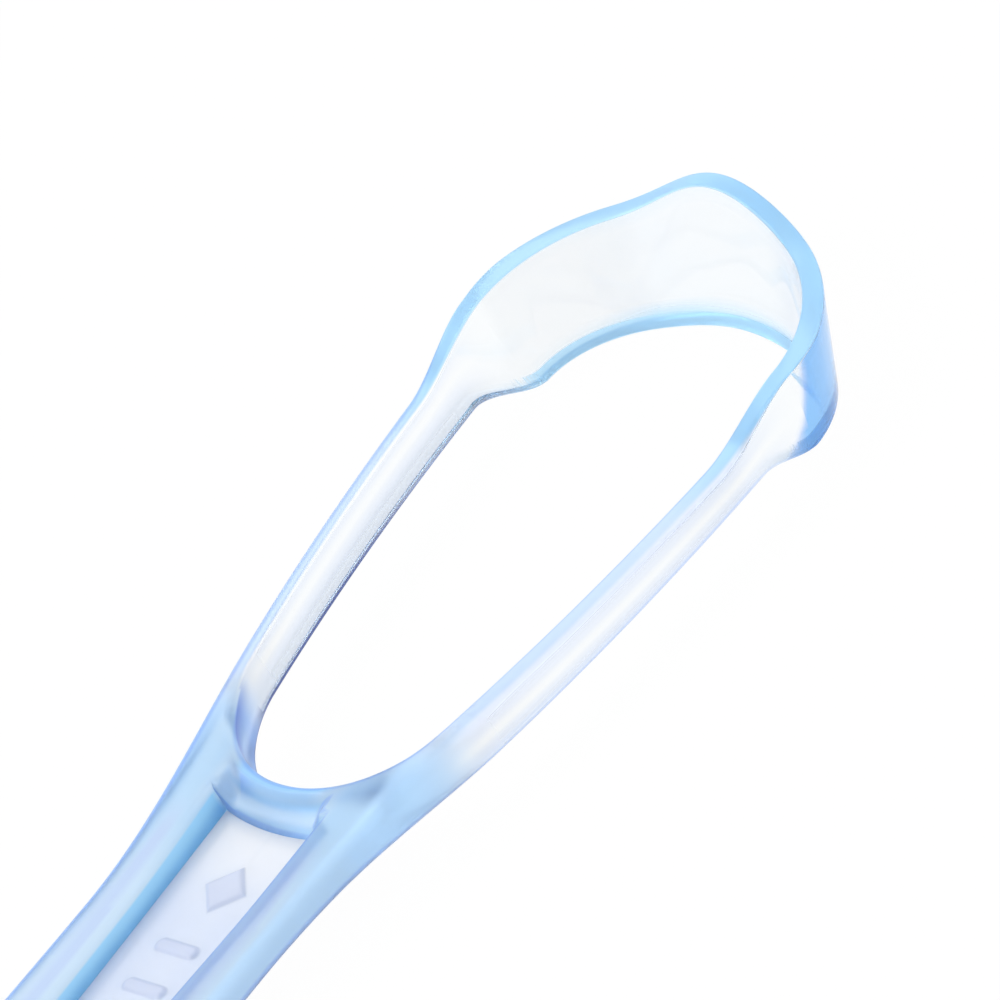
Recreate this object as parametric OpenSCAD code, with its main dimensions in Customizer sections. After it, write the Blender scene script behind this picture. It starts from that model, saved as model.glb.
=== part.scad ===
// Loop tongue scraper: one moulded frame that is handle, arms and scraping head, with a clear
// panel seated in the recess of its handle.
// X runs from the handle's end to the nose, Y across, Z up. The origin is under the middle of
// the length and width, level with the scraping edge.

/* [Loop] */
// Length from the handle's end to the nose
total_l = 150; // [135:1:165]
// Length of the opening along its upper rim
opening_l = 58.5; // [52:0.5:64]
// Width of the opening between the shoulders
opening_w = 32.5; // [29:0.5:36]
// Width of the opening where the arms reach the handle
root_w = 23; // [20:0.5:26]
// Length of the opening's round end at the handle
root_l = 9.3; // [8:0.1:11]
// Length of the opening's round end at the nose
nose_l = 13.2; // [11:0.1:15]
// Angle at which the arms leave the handle, in degrees
splay = 13; // [9:0.5:16]

/* [Walls] */
// Wall of the arms
arm_wall = 1.75; // [1.4:0.05:2.2]
// Wall of the upper rim at the shoulders
shoulder_wall = 2.15; // [1.7:0.05:2.6]
// Wall of the upper rim at the nose
nose_wall = 1.5; // [1.2:0.05:2]
// Wall at the scraping edge, at the shoulders
blade_wall = 1.6; // [1.2:0.05:2]
// Wall at the scraping edge, at the nose
nose_blade_wall = 2.1; // [1.6:0.05:2.4]
// Rounding of the head's edges
head_round = 0.2; // [0.1:0.05:0.3]
// Rounding of the arms' edges
arm_round = 0.6; // [0.3:0.05:0.7]

/* [Heights] */
// Height of the arms' underside above the scraping edge
blade_drop = 2.8; // [2:0.1:4]
// Height of the arms, from their underside to their rim
arm_h = 4.25; // [3.5:0.05:5]
// Rise of the rim from the arms to the shoulders
shoulder_rise = 1.6; // [0.8:0.1:2.5]
// Further rise of the rim from the shoulders towards the nose
head_rise = 0.5; // [0:0.1:1]
// Rise of the hump on the rim at the nose
nose_rise = 2.5; // [1:0.1:3.5]
// Rise of the scraping edge at the nose
edge_rise = 0.35; // [0:0.05:1]
// Lean that the arms' wall reaches at the shoulders, rim outwards
arm_lean = 1; // [0:0.1:1.5]
// Lean of the wall at the shoulders, rim outwards
shoulder_lean = 2.2; // [1:0.1:3]
// Lean of the wall at the nose, rim outwards
nose_lean = 4.4; // [2.5:0.1:5.5]

/* [Handle] */
// Width of the neck, where the handle is narrowest
neck_w = 19.6; // [18:0.2:22]
// Width of the handle at its broad end
grip_w = 22.4; // [20:0.5:25]
// Thickness of the handle at its rails
handle_t = 3.25; // [2.8:0.05:3.8]
// Length of the handle's round end
end_l = 17; // [14:0.5:20]
// Rounding of the handle's edge at the opening
root_round = 0.8; // [0.6:0.1:1.4]
// Rounding of the handle's upper edges
rail_round = 1.25; // [0.8:0.05:1.4]
// Width of the rounding of the handle's lower edges
belly_w = 2.6; // [1.6:0.1:3]
// Radius of the hanging hole
hang_r = 2.5; // [1.5:0.1:3]
// Distance from the handle's end to the middle of the hanging hole
hang_inset = 7; // [6:0.1:9]

/* [Recess and panel] */
// Distance from the opening to the recess
recess_gap = 2.8; // [2.4:0.1:4]
// Width of the recess at the loop
recess_w = 12.2; // [10:0.2:13]
// Width of the recess at the handle's end
recess_end_w = 8.8; // [7:0.2:10]
// Distance from the recess to the handle's end
recess_inset = 20; // [18:0.5:30]
// How far the recess's end at the loop is bowed
recess_bow = 0.8; // [0:0.1:1.5]
// Thickness of the panel, flush with the handle's underside
panel_t = 1.1; // [0.9:0.05:1.3]
// Width of the ledge that the panel's rim sits on
ledge_w = 0.8; // [0.6:0.1:1.2]
// Thickness of the ledge
ledge_t = 0.5; // [0.4:0.05:0.6]
// Gap around the panel
panel_gap = 0.05; // [0.02:0.01:0.1]
// Height of the panel's raised figures
figure_h = 0.3; // [0.2:0.05:0.5]
// Length of a raised figure
figure_l = 5; // [3:0.5:6]
// Distance between raised figures
figure_pitch = 8; // [7:0.5:12]

/* [Hidden] */

// Numbers of outlines along each stretch of the frame
nose_steps = 14;
arm_steps = 20;
neck_steps = 12;
grip_steps = 5;
end_steps = 14;
handle_steps = neck_steps + grip_steps + end_steps;

// Places along X
nose_x = total_l / 2;
end_x = -total_l / 2;
opening_x = nose_x - nose_wall;
shoulder_x = opening_x - nose_l;
root_x = opening_x - opening_l;
arm_x = root_x + root_l;
arm_l = shoulder_x - arm_x;
bend_x = end_x + end_l;
neck_share = 0.16;
neck_x = mix(root_x, end_x, neck_share);
hang_x = end_x + hang_inset;
recess_x = root_x - recess_gap;
recess_end_x = end_x + recess_inset;

// Heights above the scraping edge
under_z = blade_drop;
arm_z = under_z + arm_h;
rail_z = under_z + handle_t;
panel_z = under_z + panel_t;
ledge_z = under_z + ledge_t;
belly_share = 0.95;
belly_h = belly_share * (handle_t - rail_round);
// How far every cut runs past the faces that it opens
cut_over = handle_t;

function mix(a, b, t) = a + (b - a) * t;
function clamp(t) = max(0, min(1, t));
function ease(t) = let (c = clamp(t)) c * c * (3 - 2 * c);
function unit(v) = v / norm(v);
function right_of(v) = [v[1], -v[0]];
function lift(p, z) = [p[0], p[1], z];
function bezier(p, t) = let (s = 1 - t)
    s * s * s * p[0] + 3 * s * s * t * p[1] + 3 * s * t * t * p[2] + t * t * t * p[3];
function bezier_dir(p, t) = let (s = 1 - t)
    unit(s * s * (p[1] - p[0]) + 2 * s * t * (p[2] - p[1]) + t * t * (p[3] - p[2]));

// The opening's upper rim in plan, for the half with positive Y, from the nose to the handle
round_share = 0.53;
root_start_share = 0.57;
shoulder_angle = 2.5;
nose_curve = [
    [opening_x, 0],
    [opening_x, round_share * opening_w / 2],
    [shoulder_x + round_share * nose_l, opening_w / 2],
    [shoulder_x, opening_w / 2]];
arm_curve = [
    [shoulder_x, opening_w / 2],
    [shoulder_x, opening_w / 2] - arm_l / 3 * [1, tan(shoulder_angle)],
    [arm_x, root_w / 2] + arm_l / 3 * [1, tan(splay)],
    [arm_x, root_w / 2]];
root_curve = [
    [arm_x, root_w / 2],
    [arm_x, root_w / 2] - root_start_share * root_l * [1, tan(splay)],
    [root_x, round_share * root_w / 2],
    [root_x, 0]];

// The handle's outline in plan, from the arm to the handle's end
neck_from = [arm_x, root_w / 2] + arm_wall * [-sin(splay), cos(splay)];
neck_l = neck_from[0] - neck_x;
neck_start_share = 0.34;
neck_curve = [
    neck_from,
    neck_from - neck_start_share * neck_l * [1, tan(splay)],
    [neck_x + neck_start_share * neck_l, neck_w / 2],
    [neck_x, neck_w / 2]];
grip_curve = [
    [neck_x, neck_w / 2],
    [mix(neck_x, bend_x, 1 / 3), neck_w / 2],
    [mix(neck_x, bend_x, 2 / 3), grip_w / 2],
    [bend_x, grip_w / 2]];
end_curve = [
    [bend_x, grip_w / 2],
    [mix(bend_x, end_x, round_share), grip_w / 2],
    [end_x, round_share * grip_w / 2],
    [end_x, 0]];

// Shares of a change: 0 where it has not begun, 1 where it is complete
rise_share = 0.27;
swell_share = 0.25;
drop_share = 0.165;
drop_over_share = 0.015;
hump_share = 0.62;
function shoulder(x) = ease(1 - (shoulder_x - x) / (rise_share * arm_l));
function drop(x) = ease((x - shoulder_x + drop_share * arm_l) / ((drop_share + drop_over_share) * arm_l));
function fore(x) = clamp((x - shoulder_x) / nose_l);
function hump(y) = (1 + cos(180 * clamp(abs(y) / (hump_share * opening_w / 2)))) / 2;
function neck(x) = ease((arm_x - x) / (arm_x - neck_x));

// Heights, walls and roundings along the loop
function rim_z(p) = arm_z + shoulder_rise * shoulder(p[0]) + head_rise * fore(p[0])
    + nose_rise * hump(p[1]) * ease(2 * fore(p[0]));
function edge_z(p) = blade_drop * (1 - drop(p[0])) + edge_rise * hump(p[1]) * fore(p[0]);
function rim_wall(x) =
    mix(mix(arm_wall, shoulder_wall, clamp(fore(x) / swell_share)), nose_wall, ease(fore(x)));
function edge_wall(x) = mix(arm_wall, mix(blade_wall, nose_blade_wall, pow(fore(x), 2)), drop(x));
function lean(x) = mix(
    arm_lean * clamp((x - arm_x) / arm_l),
    mix(shoulder_lean, nose_lean, pow(fore(x), 2)),
    drop(x));
function edge_round(x) = mix(arm_round, head_round, shoulder(x));

// Three points that round a corner, from q to the end of both steps
bulge_share = 0.293;
function corner(q, step, rise) = [q, q + bulge_share * step + (1 - bulge_share) * rise, q + step + rise];

// One closed outline across the frame, in a wall that runs from p on the opening's rim to q on the
// frame's outer side. n and m point outwards from the wall there. mid holds the points between the two
// upper edges, s the low places of both sides, t the heights of rim, outer rim and edge, and r the
// roundings of the rim, rail and belly.
function outline(p, n, q, m, mid, s, t, r) =
    let (n3 = lift(n, 0),
        m3 = lift(m, 0),
        up = [0, 0, 1])
    concat(
        [lift(s[0], t[2]) + n3 * head_round, lift(s[0], t[2] + head_round)],
        corner(lift(p, t[0] - r[0]), n3 * r[0], up * r[0]),
        mid,
        corner(lift(q - m * r[1], t[1]), -up * r[1], m3 * r[1]),
        corner(lift(s[1], t[2] + r[3]), -m3 * r[2], -up * r[3]));

// An outline of the arms or the head, at share t of a curve of the opening
mid_shares = [0.4, 0.5, 0.6];
function loop_outline(curve, t) =
    let (p = bezier(curve, t),
        n = right_of(bezier_dir(curve, t)),
        low = p - n * lean(p[0]),
        r = edge_round(p[0]),
        q = p + n * rim_wall(p[0]))
    outline(p, n, q, n,
        [for (k = mid_shares) lift(mix(p, q, k), rim_z(p))],
        [low, low + n * edge_wall(p[0])],
        [rim_z(p), rim_z(p), edge_z(p)],
        [r, r, head_round, head_round]);

// An outline of the handle, from share t of the opening's round end to share u of a curve of the handle
slope_share = 0.5;
facing_share = 0.8;
spread_share = 0.3;
belly_rate_share = 2;
root_rate_share = 2.5;
root_wait_share = 0.5;
function handle_z(x) = mix(arm_z, rail_z, neck(x));
function handle_outline(t, curve, u) =
    let (p = bezier(root_curve, t),
        n = right_of(bezier_dir(root_curve, t)),
        q = bezier(curve, u),
        m = right_of(bezier_dir(curve, u)),
        reach = max(arm_wall, min((q - p) * n, (q - p) * m)),
        band = min(recess_gap / 2, mid_shares[0] * reach),
        foot = p + n * min(recess_gap, mid_shares[1] * reach),
        spread = foot + unit(q - foot) * min(spread_share * neck_l, norm(q - foot) / 2),
        faces_recess = ease((-n[0] - facing_share) / (1 - facing_share)),
        k = neck(q[0]),
        k_belly = ease(belly_rate_share * (arm_x - q[0]) / (arm_x - neck_x)))
    outline(p, n, q, m,
        [lift(p + n * band, handle_z(p[0])),
            lift(foot, mix(handle_z(foot[0]), mix(panel_z, arm_z, slope_share), faces_recess)),
            lift(spread, handle_z(spread[0]))],
        [p, q],
        [handle_z(p[0]), handle_z(q[0]), under_z],
        [mix(arm_round, root_round, ease(root_rate_share * t - root_wait_share)),
            mix(arm_round, rail_round, k),
            mix(head_round, belly_w, k_belly),
            mix(head_round, belly_h, k_belly)]);

// Outlines stand closer together at the shoulders, where the rim and the edge bend
crowd = 1.6;
half_outlines = concat(
    [for (i = [0:nose_steps - 1]) loop_outline(nose_curve, i / nose_steps)],
    [for (i = [0:arm_steps - 1]) loop_outline(arm_curve, pow(i / arm_steps, crowd))],
    [for (i = [0:neck_steps - 1]) handle_outline(i / handle_steps, neck_curve, i / neck_steps)],
    [for (i = [0:grip_steps - 1])
        handle_outline((neck_steps + i) / handle_steps, grip_curve, i / grip_steps)],
    [for (i = [0:end_steps])
        handle_outline((neck_steps + grip_steps + i) / handle_steps, end_curve, i / end_steps)]);

module frame_skin() {
    half = len(half_outlines);
    across = len(half_outlines[0]);
    around = 2 * (half - 1);
    mirrored = [for (i = [half - 2:-1:1]) [for (p = half_outlines[i]) [p[0], -p[1], p[2]]]];
    points = [for (o = concat(half_outlines, mirrored)) for (p = o) p];
    polyhedron(points, [
        for (i = [0:around - 1], j = [0:across - 1])
            let (a = i * across, b = (i + 1) % around * across, k = (j + 1) % across)
            each [[a + j, b + k, a + k], [a + j, b + j, b + k]]], convexity = 6);
}

// Outline of the recess, drawn in by inset on all sides
side_share = 0.5;
function recess_half(inset) =
    let (w = recess_w / 2 - inset,
        w_end = recess_end_w / 2 - inset,
        x = recess_x - inset,
        x_end = recess_end_x + recess_end_w / 2,
        l = x + recess_bow - x_end,
        side = [
            [x + recess_bow, w],
            [x + recess_bow - l / 4, mix(w, w_end, side_share)],
            [x_end + l / 3, w_end],
            [x_end, w_end]])
    concat(
        [for (i = [0:5]) [x + recess_bow * pow(i / 6, 2), w * i / 6]],
        [for (i = [0:9]) bezier(side, i / 10)],
        [for (a = [0:15:90]) [x_end - w_end * sin(a), w_end * cos(a)]]);

module recess_shape(inset) {
    half = recess_half(inset);
    polygon(concat(half, [for (i = [len(half) - 2:-1:1]) [half[i][0], -half[i][1]]]));
}

module slab(low, high) {
    translate([0, 0, low]) linear_extrude(height = high - low) children();
}

module frame() {
    color("lightskyblue", 0.8) difference() {
        frame_skin();
        slab(ledge_z, rail_z + cut_over) recess_shape(0);
        slab(under_z - cut_over, rail_z) recess_shape(ledge_w);
        translate([hang_x, 0, under_z - cut_over])
            cylinder(r = hang_r, h = handle_t + 2 * cut_over, $fn = 64);
    }
}

// Raised figures on the panel: a lozenge and a pair of short bars by turns
lozenge_share = 0.55;
bar_share = 0.16;
bar_gap_share = 0.4;
first_figure_share = 0.75;
module lozenge() {
    w = lozenge_share * recess_end_w;
    polygon([[figure_l / 2, 0], [0, w / 2], [-figure_l / 2, 0], [0, -w / 2]]);
}

module bar() {
    r = bar_share * figure_l;
    reach = lozenge_share * recess_end_w / 2 - r;
    square([2 * r, 2 * reach], center = true);
    for (side = [-1, 1]) translate([0, side * reach]) circle(r = r, $fn = 32);
}

module figures() {
    first_x = recess_x - first_figure_share * figure_pitch;
    count = floor((first_x - recess_end_x - figure_l) / figure_pitch) + 1;
    for (i = [0:count - 1]) translate([first_x - i * figure_pitch, 0])
        if (i % 2 == 0) lozenge();
        else for (side = [-1, 1]) translate([side * bar_gap_share * figure_l, 0]) bar();
}

module grip_panel() {
    color("aliceblue", 0.9) union() {
        slab(ledge_z, panel_z) recess_shape(panel_gap);
        slab(under_z, panel_z) recess_shape(ledge_w + panel_gap);
        slab(ledge_z, panel_z + figure_h) figures();
    }
}

frame();
grip_panel();
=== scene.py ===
import math
from types import SimpleNamespace

import bmesh
import bpy
import numpy as np
from mathutils import Matrix, Vector
from mathutils.geometry import delaunay_2d_cdt


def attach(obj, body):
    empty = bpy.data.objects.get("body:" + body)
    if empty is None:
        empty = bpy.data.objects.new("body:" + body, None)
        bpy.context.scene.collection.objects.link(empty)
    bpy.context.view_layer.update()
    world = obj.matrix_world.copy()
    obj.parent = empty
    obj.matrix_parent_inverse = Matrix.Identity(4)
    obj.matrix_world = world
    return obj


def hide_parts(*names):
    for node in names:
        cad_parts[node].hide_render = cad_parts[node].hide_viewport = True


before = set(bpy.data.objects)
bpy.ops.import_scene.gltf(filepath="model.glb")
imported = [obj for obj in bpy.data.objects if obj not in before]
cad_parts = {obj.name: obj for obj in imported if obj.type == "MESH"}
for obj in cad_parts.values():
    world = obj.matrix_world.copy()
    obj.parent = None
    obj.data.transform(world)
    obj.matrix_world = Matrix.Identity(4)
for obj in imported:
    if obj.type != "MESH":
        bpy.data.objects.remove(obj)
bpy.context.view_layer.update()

MM = 0.001

# The scraper's own sizes, as in the CAD source
TOTAL_L, OPENING_L, OPENING_W, ROOT_W, ROOT_L, NOSE_L = 150, 58.5, 32.5, 23, 9.3, 13.2
SPLAY = math.radians(13)
SHOULDER_ANGLE = math.radians(2.5)
ARM_WALL, SHOULDER_WALL, NOSE_WALL, BLADE_WALL, NOSE_BLADE_WALL = 1.75, 2.15, 1.5, 1.6, 2.1
HEAD_ROUND, ROOT_ROUND, RAIL_ROUND = 0.2, 0.8, 1.25
ARM_ROUND, ARM_OUTER_ROUND, ARM_FOOT_ROUND, ARM_OUTER_FOOT_ROUND = 0.35, 1.15, 0.4, 0.9
BLADE_DROP, ARM_H, SHOULDER_RISE, HEAD_RISE, NOSE_RISE, EDGE_RISE = 2.8, 4.25, 1.6, 0.5, 2.5, 0.35
ARM_LEAN, SHOULDER_LEAN, NOSE_LEAN = 1, 2.2, 4.4
NECK_W, GRIP_W, HANDLE_T, END_L, BELLY_W = 19.6, 22.4, 3.25, 17, 2.6
HANG_R, HANG_INSET, HANG_ROUND = 2.5, 7, 0.5
RECESS_GAP, RECESS_W, RECESS_END_W, RECESS_INSET, RECESS_BOW = 2.8, 12.2, 8.8, 20, 0.8
PANEL_T, LEDGE_W, LEDGE_T, PANEL_GAP = 1.1, 0.8, 0.5, 0.05
FIGURE_H, FIGURE_L, FIGURE_PITCH = 0.3, 5, 8

# Shares, as in the CAD source: of the outline's curves, of the changes along the arms, and of the figures
NECK_SHARE, BELLY_SHARE, ROUND_SHARE, ROOT_START_SHARE, NECK_START_SHARE = 0.16, 0.95, 0.53, 0.57, 0.34
RISE_SHARE, SWELL_SHARE, DROP_SHARE, DROP_L_SHARE, HUMP_SHARE = 0.27, 0.25, 0.165, 0.18, 0.62
FIGURE_W_SHARE, BAR_SHARE, BAR_APART_SHARE = 0.55, 0.16, 0.4

# Places along X and heights above the scraping edge
NOSE_X, END_X = TOTAL_L / 2, -TOTAL_L / 2
OPENING_X = NOSE_X - NOSE_WALL
SHOULDER_X = OPENING_X - NOSE_L
ROOT_X = OPENING_X - OPENING_L
ARM_X = ROOT_X + ROOT_L
ARM_L = SHOULDER_X - ARM_X
BEND_X = END_X + END_L
NECK_X = ROOT_X + NECK_SHARE * (END_X - ROOT_X)
HANG_X = END_X + HANG_INSET
RECESS_X = ROOT_X - RECESS_GAP
RECESS_END_X = END_X + RECESS_INSET
UNDER_Z = BLADE_DROP
ARM_Z = UNDER_Z + ARM_H
RAIL_Z = UNDER_Z + HANDLE_T
PANEL_Z = UNDER_Z + PANEL_T
LEDGE_Z = UNDER_Z + LEDGE_T
BELLY_H = BELLY_SHARE * (HANDLE_T - RAIL_ROUND)

# Painted lines at the loop's lower edges, a dark line of painted shade and a blue strip of painted light:
# their heights, and how far their ends are blurred or meshed
LINE_H, LINE_BELOW, LINE_ABOVE = 0.08, 0.04, 0.06
STRIP_H, STRIP_BLUR, STRIP_ROW = 1.3, 0.06, 0.08

# How finely the mouldings are meshed. ARM_CROWD brings the arms' sections closer together at the shoulder.
NOSE_STATIONS, ARM_STATIONS, ROOT_STATIONS, HANDLE_STATIONS, HOLE_STATIONS = 60, 150, 64, 200, 48
FRONT_STATIONS, SIDE_STATIONS, END_STATIONS, PATH_STATIONS = 24, 110, 24, 120
ROUND_STEPS, FACE_STEPS, TOP_STEPS, LOZENGE_STEPS, BAR_STEPS, BAR_END_STEPS = 6, 8, 2, 12, 5, 24
ARM_CROWD = 1.25
# The upper side is meshed finely from FINE_X on. Rows of a grid of even triangles lie GRID_ROW steps apart.
FINE_X = RECESS_X - 1
GRID, FINE_GRID, UNDER_GRID, PANEL_GRID, FIGURE_GRID = 0.7, 0.25, 1.2, 0.8, 0.4
GRID_ROW, GRID_CLEAR = 0.87, 0.45
# Points this close are one, edges this short go, and edges that turn by more degrees than this are sharp
WELD, SPECK, FRAME_SHARP, PANEL_SHARP = 0.003, 0.0005, 48, 32
# Where a curve's handles lie, seen from the corner, so that it comes close to a quarter circle
QUARTER = 0.4477

# The slope from the opening's band down to the panel: where it starts and ends, how it fades at its
# sides, how high it ends above the panel, and how finely it is meshed
SLOPE_FROM, SLOPE_L, SLOPE_SIDE, SLOPE_FADE, SLOPE_LIP = 0.8, 1.9, 4.1, 1.9, 1.1
SLOPE_FALL, SLOPE_RUN_OUT = 1.3, 2
SLOPE_STEP, SLOPE_ROWS, SLOPE_SAMPLES, SLOPE_CLEAR, SLOPE_MARGIN = 0.12, 17, 101, 0.07, 0.15
SLOPE_Y = SLOPE_SIDE + SLOPE_FADE + 0.3

# The rounded edge around the recess: how high at most, its share of the height there, and how wide for that
RECESS_ROUND, RECESS_ROUND_SHARE, RECESS_ROUND_WIDTH = 0.75, 0.6, 0.8

# The panel's rounded edge and the gaps under it
PANEL_ROUND, PANEL_LIFT, PLUG_LIFT = 0.12, 0.02, 0.01

# The figures: their width, where the first one lies, a bar's radius and how far the bars lie from the middle
FIGURE_W = FIGURE_W_SHARE * RECESS_END_W
FIRST_FIGURE_X = RECESS_X - 0.75 * FIGURE_PITCH
BAR_R, BAR_APART = BAR_SHARE * FIGURE_L, BAR_APART_SHARE * FIGURE_L
# How a figure's edge rises: how far in from its outline, and the share of its height
FIGURE_EDGE = ((0, 0), (0.08, 0.1), (0.18, 0.35), (0.3, 0.65), (0.42, 0.9), (0.6, 1))

# Colours painted over the mouldings' own tint. On the frame they are painted light and shade: blues and
# lilacs for light that the walls guide and bend, WEDGE_BLUE and NAVY for shade. The panel's lilacs go by
# place and by raised figures
RIM_BLUE, ARM_BLUE, LIGHT_BLUE, FAINT_BLUE = "#A4D7FB", "#C8DEFB", "#C4E2FD", "#EAF2FE"
OUTER_BLUE, ROOT_BLUE, CHANNEL_BLUE, STRIP_BLUE = "#C0E2FF", "#9AD3FF", "#88D2FF", "#B4E3FF"
NECK_BLUE, DEEP_BLUE, WEDGE_BLUE, NAVY = "#A4D4FD", "#4E9FFC", "#6F8FDC", "#4C5F9A"
LILAC, LILAC_BLUE, PANEL_LILAC, FIGURE_LILAC = "#C2D4F8", "#B2CDF9", "#DDE8FC", "#CFD8F0"

# The plastic's own tint, which deepens by ABSORPTION for each millimetre that light goes through
FRAME_TINT, PANEL_TINT = "#DAF1FD", "#F3F8FE"
ABSORPTION = 0.06

# The studio
WHITE, FLOOR_WHITE, DIM_WHITE = "#FFFFFF", "#F3F3F3", "#DADFEA"


def mix(a, b, t):
    return a + (b - a) * t


def clamp(t):
    return max(0.0, min(1.0, t))


def ease(t):
    t = clamp(t)
    return t * t * (3 - 2 * t)


def bezier(curve, t):
    a, b, c, d = (np.array(point, float) for point in curve)
    s = 1 - t
    return s**3 * a + 3 * s * s * t * b + 3 * s * t * t * c + t**3 * d


def outward(curve, t):
    """The horizontal direction that points away from the opening, on a curve of the outline."""
    a, b, c, d = (np.array(point, float) for point in curve)
    s = 1 - t
    along = s * s * (b - a) + 2 * s * t * (c - b) + t * t * (d - c)
    return np.array([along[1], -along[0]]) / np.linalg.norm(along)


# The opening's upper rim in plan, for the half with positive Y, from the nose to the handle
NOSE_CURVE = [
    (OPENING_X, 0), (OPENING_X, ROUND_SHARE * OPENING_W / 2),
    (SHOULDER_X + ROUND_SHARE * NOSE_L, OPENING_W / 2), (SHOULDER_X, OPENING_W / 2)]
ARM_CURVE = [
    (SHOULDER_X, OPENING_W / 2),
    (SHOULDER_X - ARM_L / 3, OPENING_W / 2 - ARM_L / 3 * math.tan(SHOULDER_ANGLE)),
    (ARM_X + ARM_L / 3, ROOT_W / 2 + ARM_L / 3 * math.tan(SPLAY)), (ARM_X, ROOT_W / 2)]
ROOT_CURVE = [
    (ARM_X, ROOT_W / 2),
    (ARM_X - ROOT_START_SHARE * ROOT_L, ROOT_W / 2 - ROOT_START_SHARE * ROOT_L * math.tan(SPLAY)),
    (ROOT_X, ROUND_SHARE * ROOT_W / 2), (ROOT_X, 0)]

# The handle's outline in plan, from the arm to the handle's end
NECK_FROM = (ARM_X - ARM_WALL * math.sin(SPLAY), ROOT_W / 2 + ARM_WALL * math.cos(SPLAY))
NECK_REACH = NECK_START_SHARE * (NECK_FROM[0] - NECK_X)
NECK_CURVE = [
    NECK_FROM, (NECK_FROM[0] - NECK_REACH, NECK_FROM[1] - NECK_REACH * math.tan(SPLAY)),
    (NECK_X + NECK_REACH, NECK_W / 2), (NECK_X, NECK_W / 2)]
GRIP_CURVE = [
    (NECK_X, NECK_W / 2), (mix(NECK_X, BEND_X, 1 / 3), NECK_W / 2),
    (mix(NECK_X, BEND_X, 2 / 3), GRIP_W / 2), (BEND_X, GRIP_W / 2)]
END_CURVE = [
    (BEND_X, GRIP_W / 2), (mix(BEND_X, END_X, ROUND_SHARE), GRIP_W / 2),
    (END_X, ROUND_SHARE * GRIP_W / 2), (END_X, 0)]


# Shares of a change: 0 where it has not begun, 1 where it is complete
def shoulder(x):
    """The rim's rise to the head, from the arm to the shoulder."""
    return ease(1 - (SHOULDER_X - x) / (RISE_SHARE * ARM_L))


def drop(x):
    """The lower edge's drop from the arm to the scraping edge."""
    return ease((x - SHOULDER_X + DROP_SHARE * ARM_L) / (DROP_L_SHARE * ARM_L))


def fore(x):
    """The way from the shoulder to the nose."""
    return clamp((x - SHOULDER_X) / NOSE_L)


def hump(y):
    """The nose's hump, from its sides to its middle."""
    return (1 + math.cos(math.pi * clamp(abs(y) / (HUMP_SHARE * OPENING_W / 2)))) / 2


def neck(x):
    """The way from the arm to the handle's neck."""
    return ease((ARM_X - x) / (ARM_X - NECK_X))


# Heights, walls and leans of the loop and the handle
def rim_z(p):
    return (ARM_Z + SHOULDER_RISE * shoulder(p[0]) + HEAD_RISE * fore(p[0])
            + NOSE_RISE * hump(p[1]) * ease(2 * fore(p[0])))


def edge_z(p):
    return BLADE_DROP * (1 - drop(p[0])) + EDGE_RISE * hump(p[1]) * fore(p[0])


def rim_wall(x):
    return mix(mix(ARM_WALL, SHOULDER_WALL, clamp(fore(x) / SWELL_SHARE)), NOSE_WALL, ease(fore(x)))


def edge_wall(x):
    return mix(ARM_WALL, mix(BLADE_WALL, NOSE_BLADE_WALL, fore(x) ** 2), drop(x))


def lean(x):
    return mix(ARM_LEAN * clamp((x - ARM_X) / ARM_L), mix(SHOULDER_LEAN, NOSE_LEAN, fore(x) ** 2), drop(x))


def handle_z(x):
    return mix(ARM_Z, RAIL_Z, neck(x))


def rounding(k):
    """How far a rounded corner has come in and still lies below the top, as shares, after k steps."""
    t = k / ROUND_STEPS
    s = 1 - t
    bulge = 3 * QUARTER
    return s * t * t * bulge + t**3, s * s * t * bulge + s**3


def corner(start, tip, end):
    """The rounded corner from start to end, under the sharp corner at tip."""
    points = []
    for k in range(ROUND_STEPS + 1):
        inward, below = rounding(k)
        points.append(tip + (start - tip) * below + (end - tip) * inward)
    return points


def between(start, end, steps):
    return [mix(start, end, k / steps) for k in range(1, steps)]


def inner_face(start, end, steps):
    """Points up the inner face, close together where the lower edge's painted lines of light and shade end.
    """
    strip_h = STRIP_H - HEAD_ROUND
    heights = (LINE_H - LINE_BELOW, LINE_H + LINE_ABOVE, strip_h - STRIP_ROW, strip_h + STRIP_ROW)
    close = [mix(start, end, height / np.linalg.norm(end - start)) for height in heights]
    return close + between(close[-1], end, steps)


def loop_section(curve, t):
    """One closed outline of the wall of the head or the arms."""
    p, n = bezier(curve, t), outward(curve, t)
    x, top, bottom = p[0], rim_z(p), edge_z(p)
    corners = [
        np.array([-lean(x), bottom]), np.array([0, top]),
        np.array([rim_wall(x), top]), np.array([edge_wall(x) - lean(x), bottom])]
    radii = [
        mix(ARM_FOOT_ROUND, HEAD_ROUND, drop(x)), mix(ARM_ROUND, HEAD_ROUND, shoulder(x)),
        mix(ARM_OUTER_ROUND, HEAD_ROUND, shoulder(x)), mix(ARM_OUTER_FOOT_ROUND, HEAD_ROUND, drop(x))]
    steps = [FACE_STEPS, TOP_STEPS, FACE_STEPS, TOP_STEPS]
    rounded = []
    for i, tip in enumerate(corners):
        before, after = corners[i - 1] - tip, corners[(i + 1) % 4] - tip
        before, after = before / np.linalg.norm(before), after / np.linalg.norm(after)
        rounded.append(corner(tip + before * radii[i], tip, tip + after * radii[i]))
    section = []
    for i, fill in enumerate((inner_face, between, between, between)):
        section += rounded[i] + fill(rounded[i][-1], rounded[(i + 1) % 4][0], steps[i])
    return [(*(p + n * s), z) for s, z in section]


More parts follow.
